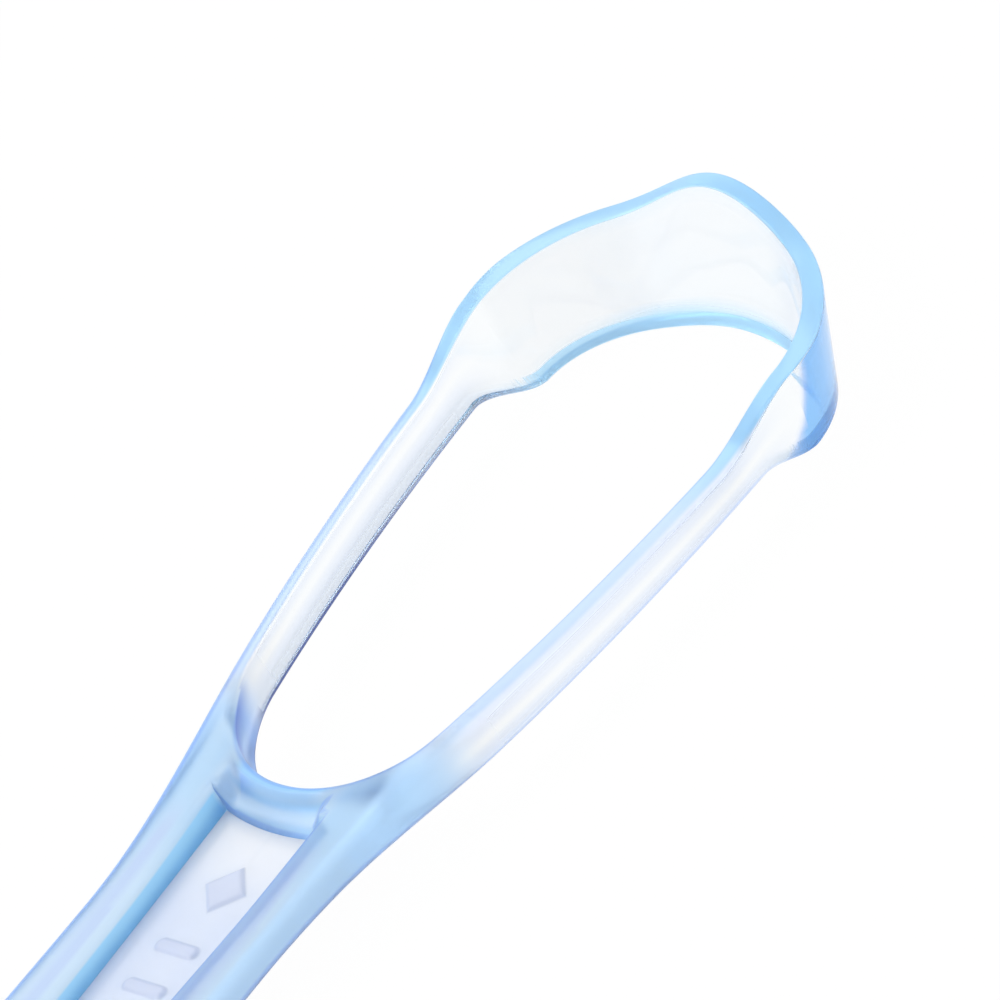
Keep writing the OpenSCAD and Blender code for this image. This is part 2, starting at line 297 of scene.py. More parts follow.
class Skin:
    """Collects one half of a closed moulding, then mirrors and welds it."""

    def __init__(self):
        self.points = []
        self.faces = []

    def strip(self, rows, closed=False):
        """Quads between rows of as many points each."""
        start, across = len(self.points), len(rows[0])
        self.points += [tuple(point) for row in rows for point in row]
        for i in range(len(rows) - 1):
            for j in range(across if closed else across - 1):
                a, b = start + i * across, start + (i + 1) * across
                k = (j + 1) % across
                self.faces.append((a + j, b + j, b + k, a + k))

    def region(self, outline, inner, height):
        """A surface over a region of the plan. The outline's points bring their heights along."""
        outline = [point for i, point in enumerate(outline)
                   if math.dist(point[:2], outline[i - 1][:2]) > 1e-6]
        corners = np.array([point[:2] for point in outline])
        if np.cross(corners, np.roll(corners, -1, axis=0)).sum() < 0:
            outline = outline[::-1]
        given = list(outline) + [(x, y, height(x, y)) for x, y in inner]
        flat = [Vector(point[:2]) for point in given]
        found = delaunay_2d_cdt(flat, [], [list(range(len(outline)))], 1, 1e-7, True)
        start = len(self.points)
        for place, source in zip(found[0], found[3]):
            self.points.append(tuple(given[source[0]]) if source else (*place, height(*place)))
        self.faces += [tuple(start + i for i in face) for face, source in zip(found[2], found[5]) if source]

    def make(self, name, sharp):
        """The whole moulding as an object."""
        bm = bmesh.new()
        for side in (1, -1):
            verts = [bm.verts.new((x * MM, side * y * MM, z * MM)) for x, y, z in self.points]
            for face in self.faces:
                bm.faces.new([verts[i] for i in face])
        bmesh.ops.remove_doubles(bm, verts=bm.verts, dist=WELD * MM)
        bmesh.ops.dissolve_degenerate(bm, edges=bm.edges, dist=SPECK * MM)
        bmesh.ops.recalc_face_normals(bm, faces=bm.faces)
        mesh = bpy.data.meshes.new(name)
        bm.to_mesh(mesh)
        bm.free()
        mesh.shade_smooth()
        mesh.set_sharp_from_angle(angle=math.radians(sharp))
        piece = bpy.data.objects.new(name, mesh)
        bpy.context.scene.collection.objects.link(piece)
        return piece


def inside(points, outline):
    """Which points lie within an outline in plan."""
    x, y = points[:, 0], points[:, 1]
    found = np.zeros(len(points), bool)
    for (x0, y0), (x1, y1) in zip(outline, np.roll(outline, -1, axis=0)):
        crosses = (y0 > y) != (y1 > y)
        if y0 != y1:
            found ^= crosses & (x < (x1 - x0) * (y - y0) / (y1 - y0) + x0)
    return found


def distance(points, line):
    """How far points lie from a line of points in plan."""
    nearest = np.full(len(points), np.inf)
    for a, b in zip(line[:-1], line[1:]):
        along = b - a
        length = float(along @ along)
        share = np.clip((points - a) @ along / length, 0, 1) if length else np.zeros(len(points))
        nearest = np.minimum(nearest, np.linalg.norm(points - a - share[:, None] * along, axis=1))
    return nearest


def grid(outline, step, low_x=-math.inf, high_x=math.inf):
    """Points spread over a region in plan, clear of its outline."""
    flat = np.array([point[:2] for point in outline], float)
    (x0, y0), (x1, y1) = flat.min(axis=0), flat.max(axis=0)
    x0, x1 = max(x0, low_x), min(x1, high_x)
    points = []
    for j, y in enumerate(np.arange(y0 + step / 2, y1, step * GRID_ROW)):
        points += [(x, y) for x in np.arange(x0 + (j % 2) * step / 2, x1, step)]
    if not points:
        return []
    points = np.array(points)
    points = points[inside(points, flat)]
    closed = np.vstack([flat, flat[:1]])
    return [tuple(point) for point in points[distance(points, closed) > GRID_CLEAR * step]]


def rings(line, normals, widths, heights, surface):
    """Rows of a rounded edge, from its lower line to where it joins the surface."""
    rows = []
    for k in range(ROUND_STEPS + 1):
        inward, below = rounding(k)
        row = []
        for point, normal, width, height in zip(line, normals, widths, heights):
            x, y = point + normal * width * inward
            row.append((x, y, surface(x, y) - height * below))
        rows.append(row)
    return rows


def wall(upper, lower, steps):
    """Rows of a straight wall between two lines of as many points."""
    shares = [k / steps for k in range(steps + 1)]
    return [[mix(np.array(a), np.array(b), share) for a, b in zip(upper, lower)] for share in shares]


def joined(lines, height):
    """One outline from lines that each start where the last one ends, or further along the centre line."""
    outline = []
    for line in lines:
        if outline:
            x0, x1 = outline[-1][0], line[0][0]
            steps = max(1, round(abs(x1 - x0) / (SLOPE_STEP if x1 > FINE_X else GRID)))
            outline += [(x, 0.0, height(x, 0)) for x in between(x0, x1, steps)]
        outline += [tuple(point) for point in line]
    return outline


def line_normals(line):
    """Directions to the right of a line that starts and ends on the centre line, mitred at its corners."""
    flip = np.array([1, -1])
    along = np.diff(np.vstack([line[1] * flip, line, line[-2] * flip]), axis=0)
    right = np.column_stack([along[:, 1], -along[:, 0]]) / np.linalg.norm(along, axis=1)[:, None]
    both = right[:-1] + right[1:]
    both /= np.linalg.norm(both, axis=1)[:, None]
    return both / (both * right[1:]).sum(axis=1)[:, None]


def recess_half(inset):
    """The recess's outline in plan, from its end by the opening to its round end."""
    w, w_end = RECESS_W / 2 - inset, RECESS_END_W / 2 - inset
    x, x_end = RECESS_X - inset, RECESS_END_X + RECESS_END_W / 2
    length = x + RECESS_BOW - x_end
    side = [(x + RECESS_BOW, w), (x + RECESS_BOW - length / 4, mix(w, w_end, 0.5)),
            (x_end + length / 3, w_end), (x_end, w_end)]
    front = [np.array([x + RECESS_BOW * t ** 2, w * t]) for t in np.arange(FRONT_STATIONS) / FRONT_STATIONS]
    sides = [bezier(side, t) for t in np.arange(SIDE_STATIONS) / SIDE_STATIONS]
    ends = [np.array([x_end - w_end * math.sin(a), w_end * math.cos(a)])
            for a in np.linspace(0, math.pi / 2, END_STATIONS + 1)]
    return np.array(front + sides + ends)


# The opening's round end and the handle's outer edge
root_line = np.array([bezier(ROOT_CURVE, t) for t in np.linspace(0, 1, ROOT_STATIONS + 1)])
root_normals = [outward(ROOT_CURVE, t) for t in np.linspace(0, 1, ROOT_STATIONS + 1)]
outer_line, outer_normals = [], []
for curve, share in ((NECK_CURVE, 0.35), (GRIP_CURVE, 0.4), (END_CURVE, 0.25)):
    count = round(HANDLE_STATIONS * share)
    for i in range(count + (curve is END_CURVE)):
        outer_line.append(bezier(curve, i / count))
        outer_normals.append(-outward(curve, i / count))
outer_line = np.array(outer_line)


def hollow(t):
    """The slope's fall: away fast, then out level."""
    return 1 - (1 - clamp(t) ** SLOPE_FALL) ** SLOPE_RUN_OUT


def handle_top(x, y):
    """How high the handle's upper side lies, with the slope in it."""
    z = handle_z(x)
    if x < RECESS_X - 0.01 or x > ARM_X:
        return z
    away = distance(np.array([[x, y]]), root_line)[0]
    share = hollow((away - SLOPE_FROM) / SLOPE_L) * (1 - ease((abs(y) - SLOPE_SIDE) / SLOPE_FADE))
    return mix(z, PANEL_Z + SLOPE_LIP, share)


def slope_points(outline):
    """Points over the slope in rows along its contours, so that it is meshed smoothly."""
    samples = np.linspace(0, 1, SLOPE_SAMPLES)
    rows = np.interp(np.linspace(0, 1, SLOPE_ROWS), [hollow(t) for t in samples], samples)
    flat = np.array([point[:2] for point in outline], float)
    normals = np.array(root_normals)
    points = []
    for share in rows:
        line = root_line + normals * (SLOPE_FROM + SLOPE_L * share)
        along = np.concatenate([[0], np.cumsum(np.linalg.norm(np.diff(line, axis=0), axis=1))])
        places = np.arange(0, along[-1], SLOPE_STEP)
        points.append(np.column_stack([np.interp(places, along, values) for values in line.T]))
    points = np.vstack(points)
    points = points[inside(points, flat) & (points[:, 1] < SLOPE_Y)]
    return [tuple(point) for point in points[distance(points, np.vstack([flat, flat[:1]])) > SLOPE_CLEAR]]


def off_slope(points):
    """Leaves out the points that lie where the slope's own rows are."""
    left = []
    for point, away in zip(points, distance(np.array(points), root_line)):
        on_slope = SLOPE_FROM - SLOPE_MARGIN < away < SLOPE_FROM + SLOPE_L + SLOPE_MARGIN
        if not (on_slope and point[1] < SLOPE_Y + 0.1):
            left.append(point)
    return left


def under(x, y):
    """How high the handle's underside lies."""
    return UNDER_Z


def make_frame():
    """The moulded frame: head, arms and handle in one skin."""
    skin = Skin()
    loop = [loop_section(NOSE_CURVE, i / NOSE_STATIONS) for i in range(NOSE_STATIONS)]
    loop += [loop_section(ARM_CURVE, (i / ARM_STATIONS) ** ARM_CROWD) for i in range(ARM_STATIONS + 1)]
    skin.strip(loop, closed=True)

    # Edges of the handle's upper side
    along_neck = [(NECK_FROM[0] - x) / (NECK_FROM[0] - NECK_X) for x, y in outer_line]
    rails = [mix(ARM_OUTER_ROUND, RAIL_ROUND, ease(share)) for share in along_neck]
    root_rounds = [mix(ARM_ROUND, ROOT_ROUND, ease(3 * t)) for t in np.linspace(0, 1, ROOT_STATIONS + 1)]
    outer_top = rings(outer_line, outer_normals, rails, rails, handle_top)
    root_top = rings(root_line, root_normals, root_rounds, root_rounds, handle_top)
    recess_line = recess_half(0)
    edge_hs = [min(RECESS_ROUND, RECESS_ROUND_SHARE * (handle_top(x, y) - PANEL_Z)) for x, y in recess_line]
    recess_top = rings(recess_line, line_normals(recess_line), [h * RECESS_ROUND_WIDTH for h in edge_hs],
                       edge_hs, handle_top)
    turn = np.linspace(0, math.pi, HOLE_STATIONS + 1)
    hole_line = np.array([(HANG_X + HANG_R * math.cos(a), HANG_R * math.sin(a)) for a in turn])
    hole_normals = [np.array([math.cos(a), math.sin(a)]) for a in turn]
    hole_rounds = [HANG_ROUND] * len(turn)
    hole_top = rings(hole_line, hole_normals, hole_rounds, hole_rounds, handle_top)

    # Edges of its underside
    belly_ws = [mix(ARM_OUTER_FOOT_ROUND, BELLY_W, ease(1.5 * share)) for share in along_neck]
    belly_hs = [mix(ARM_OUTER_FOOT_ROUND, BELLY_H, ease(1.5 * share)) for share in along_neck]
    outer_low = rings(outer_line, outer_normals, belly_ws, [-h for h in belly_hs], under)
    root_lows = [mix(ARM_FOOT_ROUND, HEAD_ROUND, ease(3 * t)) for t in np.linspace(0, 1, ROOT_STATIONS + 1)]
    root_low = rings(root_line, root_normals, root_lows, [-low for low in root_lows], under)
    hole_low = rings(hole_line, hole_normals, [HEAD_ROUND] * len(turn), [-HEAD_ROUND] * len(turn), under)
    window_line = recess_half(LEDGE_W)

    for rows in (outer_top, root_top, recess_top, hole_top, outer_low, root_low, hole_low):
        skin.strip(rows)
    skin.strip(wall(outer_top[0], outer_low[0], FACE_STEPS))
    columns = [[low, *inner_face(low, high, FACE_STEPS), high]
               for low, high in zip(np.array(root_low[0]), np.array(root_top[0]))]
    skin.strip(list(zip(*columns)))
    skin.strip(wall(hole_top[0], hole_low[0], FACE_STEPS))
    ledge_edge = [(x, y, LEDGE_Z) for x, y in recess_line]
    window_top = [(x, y, LEDGE_Z) for x, y in window_line]
    window_low = [(x, y, UNDER_Z) for x, y in window_line]
    skin.strip(wall(recess_top[0], ledge_edge, FACE_STEPS))
    skin.strip(wall(ledge_edge, window_top, 1))
    skin.strip(wall(window_top, window_low, 2))

    # The upper side and the underside between those edges
    cut_top = between(np.array(outer_top[-1][0]), np.array(root_top[-1][0]), TOP_STEPS)
    top = joined([root_top[-1], recess_top[-1], hole_top[-1], outer_top[-1][::-1]], handle_top) + cut_top
    cut_low = between(np.array(outer_low[-1][0]), np.array(root_low[-1][0]), TOP_STEPS)
    low = joined([root_low[-1], window_low, hole_low[-1], outer_low[-1][::-1]], under) + cut_low
    upper = slope_points(top) + off_slope(grid(top, FINE_GRID, FINE_X)) + grid(top, GRID, high_x=FINE_X)
    skin.region(top, upper, handle_top)
    skin.region(low, grid(low, UNDER_GRID), under)
    return skin.make("clear_frame", FRAME_SHARP)


def make_panel():
    """The pale panel: a plate with a thicker middle and low raised figures."""
    skin = Skin()
    line = recess_half(PANEL_GAP)
    inward = line_normals(line) * -1
    rims = [PANEL_ROUND] * len(line)
    top = rings(line, inward, rims, rims, lambda x, y: PANEL_Z)
    plug = recess_half(LEDGE_W + PANEL_GAP)
    flange_low = [(x, y, LEDGE_Z + PANEL_LIFT) for x, y in line]
    plug_top = [(x, y, LEDGE_Z + PANEL_LIFT) for x, y in plug]
    plug_low = [(x, y, UNDER_Z + PLUG_LIFT) for x, y in plug]
    skin.strip(top)
    skin.strip(wall(top[0], flange_low, 2))
    skin.strip(wall(flange_low, plug_top, 1))
    skin.strip(wall(plug_top, plug_low, 2))
    skin.region(plug_low, grid(plug_low, UNDER_GRID), lambda x, y: UNDER_Z + PLUG_LIFT)

    # The figures, from the opening's end to the handle's end: a lozenge and a pair of bars in turn
    count = int((FIRST_FIGURE_X - RECESS_END_X - FIGURE_L) / FIGURE_PITCH) + 1
    outlines = []
    for i in range(count):
        x = FIRST_FIGURE_X - i * FIGURE_PITCH
        if i % 2 == 0:
            line = lozenge_half(x, FIGURE_L / 2, FIGURE_W / 2)
            outlines.append((line, (np.array([x, 0]) - line) / math.hypot(FIGURE_L / 2, FIGURE_W / 2) * 2))
        else:
            for side in (1, -1):
                line = bar_half(x + side * BAR_APART, BAR_R, FIGURE_W / 2)
                outlines.append((line, line_normals(line) * -1))
    middle = []
    for line, inward in outlines:
        rows = []
        for inset, rise in FIGURE_EDGE:
            places = line + inward * inset
            rows.append([(x, y, PANEL_Z + FIGURE_H * rise) for x, y in places])
        skin.strip(rows)
        skin.region(rows[-1], grid(rows[-1], FIGURE_GRID), lambda x, y: PANEL_Z + FIGURE_H)
        middle.append(rows[0][::-1])
    whole = joined([top[-1]] + middle[::-1], lambda x, y: PANEL_Z)
    skin.region(whole, grid(whole, PANEL_GRID), lambda x, y: PANEL_Z)
    return skin.make("clear_panel", PANEL_SHARP)


def lozenge_half(x, half_l, half_w):
    """Half of a lozenge, from its end by the opening."""
    side = np.linspace(0, 1, LOZENGE_STEPS + 1)
    points = [(x + half_l * (1 - t), half_w * t) for t in side[:-1]]
    points += [(x - half_l * t, half_w * (1 - t)) for t in side]
    return np.array(points)


def bar_half(x, radius, half_w):
    """Half of a bar with round ends, from its side by the opening."""
    straight = half_w - radius
    points = [(x + radius, straight * t) for t in np.linspace(0, 1, BAR_STEPS + 1)[:-1]]
    points += [(x + radius * math.cos(a), straight + radius * math.sin(a))
               for a in np.linspace(0, math.pi, BAR_END_STEPS + 1)]
    points += [(x - radius, straight * t) for t in np.linspace(1, 0, BAR_STEPS + 1)[1:]]
    return np.array(points)


def smooth(values, start, end):
    """0 before start and 1 after end, eased between them."""
    t = np.clip((values - start) / (end - start), 0, 1)
    return t * t * (3 - 2 * t)


def band(values, start, end, fade):
    """1 between start and end, and eased to 0 over fade at both."""
    half = fade / 2
    return smooth(values, start - half, start + half) * (1 - smooth(values, end - half, end + half))


def linear(hex_colour):
    """A colour given in sRGB, as the linear values that shaders take."""
    values = [int(hex_colour[i:i + 2], 16) / 255 for i in (1, 3, 5)]
    return [v / 12.92 if v <= 0.04045 else ((v + 0.055) / 1.055) ** 2.4 for v in values] + [1]


def paint(piece, layers, **finish):
    """Lays tints over a piece's points, each by its share, and stores each kind of finish there."""
    colours = np.ones((len(piece.data.vertices), 4))
    for tint, share in layers:
        share = np.clip(share, 0, 1)
        colours = colours * (1 - share)[:, None] + np.array(linear(tint)) * share[:, None]
    layer = piece.data.attributes.new("tint", "FLOAT_COLOR", "POINT")
    layer.data.foreach_set("color", colours.astype(np.float32).ravel())
    for name, values in finish.items():
        layer = piece.data.attributes.new(name, "FLOAT", "POINT")
        layer.data.foreach_set("value", values.astype(np.float32))


def measures(piece):
    """Where each point lies, in millimetres, and which way the surface faces there."""
    count = len(piece.data.vertices)
    places, normals = np.empty(count * 3), np.empty(count * 3)
    piece.data.vertices.foreach_get("co", places)
    piece.data.vertex_normals.foreach_get("vector", normals)
    return places.reshape(-1, 3) / MM, normals.reshape(-1, 3)


# Where things on the frame begin, end or fade along X, each from one place to another
LOOP_BEGINS, HEAD_BEGINS = (ARM_X - 5, ARM_X), (SHOULDER_X - 9, SHOULDER_X)
BRIGHT_RIM_BEGINS, SHADE_LINE_FADES = (SHOULDER_X - 16, SHOULDER_X - 6), (34, 54)
FORK_BEGINS, FORK_ENDS, LIGHT_BLUE_FADES = (2, 13), (ARM_X - 9, ARM_X + 1), (ARM_X - 9, ARM_X - 1)
LILAC_ENDS, HAZE_ENDS = (RECESS_X - 5, RECESS_X), (ARM_X - 4, ARM_X + 9)
LOW_EDGE_BEGINS, SLOPE_END_X = (ROOT_X, ROOT_X + 3), RECESS_X - 0.5
# Stretches along X, each with the way over which both its ends fade
DEEP_NECK, SHADED_CORNERS = (-3, 15, 14), (FINE_X, ARM_X - 5, 3)
WEDGE_STRETCH, WEDGE_RISE = (ROOT_X + 1.5, ROOT_X + 8, 2.5), (ARM_Z - 2.4, ARM_Z - 0.6)
# Distances from the opening's round end: the slope's lower part, the blue of its edge, the glow and the milk
LOW_SLOPE, ROOT_EDGE, ROOT_GLOW, ROOT_MILK = (0.9, 1.8), (0.7, 1), (1.4, 1.75, 0.3), (1, 1.9)
# How far the opening's lower edge reaches up and away from it, and how far the shaded corners pass the slope
LOW_EDGE, CORNER_IN, CORNER_OUT, CORNER_FADE = 0.6, 0.2, 0.6, 1.6
# How close to a wall's line in plan a point on that wall lies
RECESS_TOUCH, ROOT_TOUCH = 0.01, 0.02
# The bend of the nose in degrees that the wall has turned, and how many more each millimetre of arm counts
BEND_BEGINS, BEND_END, BEND_FOOT, BEND_FADES, BEND_PER_MM = (26, 38), 85, 24, (-4, 6), 4


def nearest_wall(places, facing):
    """How each point lies to the nearest wall of the head or the arms.

    Gives the wall's way out, how far the surface faces that way, and the point's height above the wall's
    lower edge, in millimetres and as a share of the wall's height.
    """
    x, y, z = places.T
    path = [(bezier(NOSE_CURVE, t), outward(NOSE_CURVE, t)) for t in np.linspace(0, 1, 1 + NOSE_STATIONS)]
    path += [(bezier(ARM_CURVE, t), outward(ARM_CURVE, t)) for t in np.linspace(0, 1, 1 + PATH_STATIONS)[1:]]
    middle = np.array([p + n * (rim_wall(p[0]) - lean(p[0])) / 2 for p, n in path])
    flat = np.column_stack([x, np.abs(y)])
    nearest = np.array([np.argmin(((middle - point) ** 2).sum(axis=1)) for point in flat])
    ways = np.array([n for p, n in path])[nearest]
    tops = np.array([rim_z(p) for p, n in path])[nearest]
    feet = np.array([edge_z(p) for p, n in path])[nearest]
    side = np.where(y < 0, -1, 1)
    out = facing[:, 0] * ways[:, 0] + facing[:, 1] * side * ways[:, 1]
    return ways, out, z - feet, (z - feet) / (tops - feet)


def nose_bend(x, ways, share_up):
    """The outer wall's turn at the side of the nose, which reaches further back at its foot."""
    turned = np.degrees(np.arctan2(ways[:, 1], ways[:, 0])) + BEND_PER_MM * np.clip(SHOULDER_X - x, 0, None)
    end = BEND_END + BEND_FOOT * (1 - np.clip(share_up, 0, 1)) ** 2
    return smooth(turned, *BEND_BEGINS) * (1 - smooth(turned - end, *BEND_FADES))


def loop_masks(places, facing):
    """Masks of the head and the arms: each is 1 on the part that it is named for, and 0 elsewhere."""
    x, up = places[:, 0], facing[:, 2]
    ways, out, height, share_up = nearest_wall(places, facing)
    whole, head = smooth(x, *LOOP_BEGINS), smooth(x, *HEAD_BEGINS)
    arm = whole * (1 - head)
    blade = np.array([drop(v) for v in x])
    outer, inner = smooth(out, 0.2, 0.5), 1 - smooth(out, -0.3, 0.1)
    rim = smooth(up, 0.3 + 0.3 * arm - 0.3 * outer * head, 0.7 + 0.2 * arm - 0.3 * outer * head)
    foot = smooth(-up, 0.05 + (0.2 + 0.2 * blade) * outer, 0.2 + (0.25 + 0.25 * blade) * outer)
    strip = whole * blade * (1 - smooth(out, -0.5, 0))
    leaning = head * (1 - outer)
    return SimpleNamespace(
        whole=whole, head=head, arm=arm, outer=outer, rim=rim, foot=foot, share_up=share_up,
        strip=strip * (1 - smooth(height, STRIP_H - STRIP_BLUR, STRIP_H + STRIP_BLUR)),
        low_arm=arm * outer * (1 - smooth(share_up, 0.14, 0.34)),
        painted_shade_line=whole * (1 - blade) * inner * (up > -0.85) * (height < ARM_FOOT_ROUND + LINE_H),
        bend=whole * outer * head * (1 - rim) * nose_bend(x, ways, share_up),
        top_edge=whole * smooth(
            up, 0.1 + 0.2 * leaning - 0.15 * outer * head, 0.4 + 0.3 * leaning - 0.15 * outer * head))


def handle_masks(places, facing, loop):
    """Masks of the handle, and of the fork where the arms start."""
    x, y, z = places.T
    up = facing[:, 2]
    flat = np.column_stack([x, np.abs(y)])
    from_root, from_edge = distance(flat, root_line), distance(flat, outer_line)
    from_recess = distance(flat, recess_half(0))
    across = from_recess / (from_recess + from_edge + 1e-6)
    whole = 1 - loop.whole
    top = whole * smooth(up, 0.15, 0.45)
    level = np.abs(up) < 0.5
    wall_side = smooth(np.abs(facing[:, 1]), 0.5, 0.9)
    fork = smooth(x, *FORK_BEGINS) * (1 - smooth(x, *FORK_ENDS))

    # The slope by the opening, the shaded corners beside it, and the opening's lower edge and its wedge, both
    # painted dark as shade
    beside = smooth(np.abs(y), SLOPE_SIDE, SLOPE_SIDE + SLOPE_FADE)
    slope = whole * (x > SLOPE_END_X) * (1 - beside)
    corners = band(np.abs(y), SLOPE_SIDE - CORNER_IN, SLOPE_SIDE + SLOPE_FADE + CORNER_OUT, CORNER_FADE)
    low_edge = whole * (from_root < LOW_EDGE) * (z < UNDER_Z + LOW_EDGE)
    wedge = whole * (from_root < ROOT_TOUCH) * level
    return SimpleNamespace(
        whole=whole, top=top, across=across, from_root=from_root, slope=slope,
        not_under=smooth(up, -0.7, -0.2),
        edge=whole * smooth(up, -0.7, -0.3) * smooth(across, 0.6, 0.85),
        channel=whole * level * (from_recess < RECESS_TOUCH) * (z > LEDGE_Z) * wall_side,
        fork=fork * np.maximum(whole, loop.outer),
        low_slope=slope * smooth(from_root, *LOW_SLOPE),
        slope_top=slope * smooth(up, 0.1, 0.3),
        corners=corners * top * band(x, *SHADED_CORNERS),
        low_edge=low_edge * smooth(-up, 0.02, 0.2) * smooth(x, *LOW_EDGE_BEGINS),
        wedge=wedge * band(x, *WEDGE_STRETCH) * smooth(z, *WEDGE_RISE))


def loop_tints(x, on):
    """The painted light and shade of the head and the arms, in the order that they are laid, and where each
    one goes.
    """
    return [
        (FAINT_BLUE, on.whole * on.foot),
        (FAINT_BLUE, on.low_arm),
        (STRIP_BLUE, on.strip),
        (LILAC, on.arm * on.outer * band(on.share_up, 0.62, 0.95, 0.2) * 0.5),
        (LILAC, on.arm * on.outer * band(on.share_up, 0.18, 0.42, 0.15) * 0.5),
        (ARM_BLUE, on.arm * on.rim),
        (RIM_BLUE, on.whole * on.rim * smooth(x, *BRIGHT_RIM_BEGINS))]


def handle_tints(x, on):
    """The painted light and shade of the handle, laid after those of the loop."""
    clearing = 1 - 0.7 * smooth(x, *LIGHT_BLUE_FADES)
    neck_blue = 0.35 + 0.65 * band(x, *DEEP_NECK)
    along_grip = (1 - on.slope) * (1 - smooth(x, *LILAC_ENDS))
    return [
        (LIGHT_BLUE, on.whole * on.not_under * clearing),
        (NECK_BLUE, on.fork * on.not_under * (0.8 - 0.6 * on.low_slope) * (1 - 0.75 * on.corners)),
        (LILAC_BLUE, on.top * band(on.across, 0.17, 0.52, 0.14) * along_grip),
        (OUTER_BLUE, on.whole * on.not_under * smooth(on.across, 0.66, 0.86) * neck_blue),
        (ROOT_BLUE, on.slope_top * (1 - smooth(on.from_root, *ROOT_EDGE))),
        # A painted glow of light along the slope by the opening
        (ROOT_BLUE, on.slope * band(on.from_root, *ROOT_GLOW) * 0.7),
        (CHANNEL_BLUE, on.channel),
        # Painted shade: a dark wedge on the opening's inner wall, and navy along its lower edge
        (WEDGE_BLUE, on.wedge),
        (NAVY, on.low_edge)]


def frame_haze(x, up, loop, handle):
    """How frosted and how milky the frame's surface is."""
    near_handle = 1 - smooth(x, *HAZE_ENDS)
    frost = np.maximum.reduce([
        0.35 * near_handle, 0.28 * loop.top_edge, 0.25 * loop.strip, 0.3 * loop.painted_shade_line, 0.05 * loop.bend])
    milk = np.maximum.reduce([
        near_handle * (0.08 + 0.12 * smooth(up, -0.1, 0.3)), 0.6 * loop.top_edge, 0.57 * loop.strip,
        0.08 * loop.bend, 0.3 * loop.low_arm, 0.6 * handle.edge, 0.7 * handle.low_edge, 0.4 * handle.wedge,
        0.4 * handle.channel, 0.5 * handle.slope_top * (1 - smooth(handle.from_root, *ROOT_MILK))])
    return frost, milk


def paint_frame(piece):
    """Paints light and shade into the frame's colour: bluer where light that the walls guide leaves at the
    rims and the handle's edges, with dark lines and a wedge of painted shade.
    """
    places, facing = measures(piece)
    x, up = places[:, 0], facing[:, 2]
    loop = loop_masks(places, facing)
    handle = handle_masks(places, facing, loop)
    frost, milk = frame_haze(x, up, loop, handle)
    # The tints and the slant are painted light and shade; line marks where the dark line of painted shade
    # shows under the arms
    paint(piece, loop_tints(x, loop) + handle_tints(x, handle), frost=frost, milk=milk,
          slant=np.maximum(0.45 - 0.35 * loop.whole * loop.head, loop.bend),
          line=loop.painted_shade_line * (1 - 0.6 * smooth(x, *SHADE_LINE_FADES)))


def paint_panel(piece):
    """The panel is palest by the opening."""
    places, facing = measures(piece)
    far = 1 - smooth(places[:, 0], 2, RECESS_X)
    raised = smooth(places[:, 2], PANEL_Z + 0.02, PANEL_Z + 0.1)
    paint(piece, [(PANEL_LILAC, 0.2 + 0.6 * far), (FIGURE_LILAC, 0.7 * raised)])


def node(tree, kind, inputs=None, **settings):
    """Adds a node with its settings, and gives each of its inputs a value or a link."""
    made = tree.nodes.new(kind)
    for name, value in settings.items():
        setattr(made, name, value)
    for name, value in (inputs or {}).items():
        if isinstance(value, bpy.types.NodeSocket):
            tree.links.new(value, made.inputs[name])
        else:
            made.inputs[name].default_value = value
    return made


def frame_finish(tree, tint, haze):
    """The frame's colour, roughness and clearness, which its points hold."""
    frost = node(tree, "ShaderNodeAttribute", attribute_name="frost").outputs["Fac"]
    milk = node(tree, "ShaderNodeAttribute", attribute_name="milk").outputs["Fac"]
    # A painted dark line of shade on the rounding under the arms, shown from outside and clear from within
    line = node(tree, "ShaderNodeAttribute", attribute_name="line").outputs["Fac"]
    within = node(tree, "ShaderNodeNewGeometry").outputs["Backfacing"]
    outside = node(tree, "ShaderNodeMath", {0: 1, 1: within}, operation="SUBTRACT")
    shown = node(tree, "ShaderNodeMath", {0: line, 1: outside.outputs[0]}, operation="MULTIPLY")
    lined = node(tree, "ShaderNodeMix",
                 {"Factor": shown.outputs[0], 6: tint, 7: linear(NAVY)}, data_type="RGBA")
    milkiest = node(tree, "ShaderNodeMath", {0: shown.outputs[0], 1: 0.8, 2: milk}, operation="MULTIPLY_ADD")
    # Seen at a slant, a wall of clear plastic holds more plastic, and is bluer. The slant that the points
    # hold is painted strongest on the nose's bend, where this deeper blue is painted light
    facing = node(tree, "ShaderNodeLayerWeight", {"Blend": 0.5}).outputs["Facing"]
    slant = node(tree, "ShaderNodeAttribute", attribute_name="slant").outputs["Fac"]
    turned = node(tree, "ShaderNodeMath", {0: slant, 1: 0.25, 2: facing}, operation="MULTIPLY_ADD")
    slanted = node(tree, "ShaderNodeMapRange",
                   {"Value": turned.outputs[0], "From Min": 0.53, "From Max": 0.68, "To Max": slant})
    deep = node(tree, "ShaderNodeMix",
                {"Factor": slanted.outputs["Result"], 6: lined.outputs[2], 7: linear(DEEP_BLUE)},
                data_type="RGBA", blend_type="MULTIPLY")
    rough = node(tree, "ShaderNodeMath", {0: frost, 1: haze}, operation="ADD")
    clear = node(tree, "ShaderNodeMath", {0: 1, 1: milkiest.outputs[0]}, operation="SUBTRACT", use_clamp=True)
    return {"Base Color": deep.outputs[2], "Roughness": rough.outputs[0],
            "Transmission Weight": clear.outputs[0]}


def panel_finish(tree, tint, haze):
    """The panel is frosted and slightly milky all over."""
    rough = node(tree, "ShaderNodeMath", {0: haze, 1: 0.3}, operation="ADD")
    return {"Base Color": tint, "Roughness": rough.outputs[0], "Transmission Weight": 0.45}


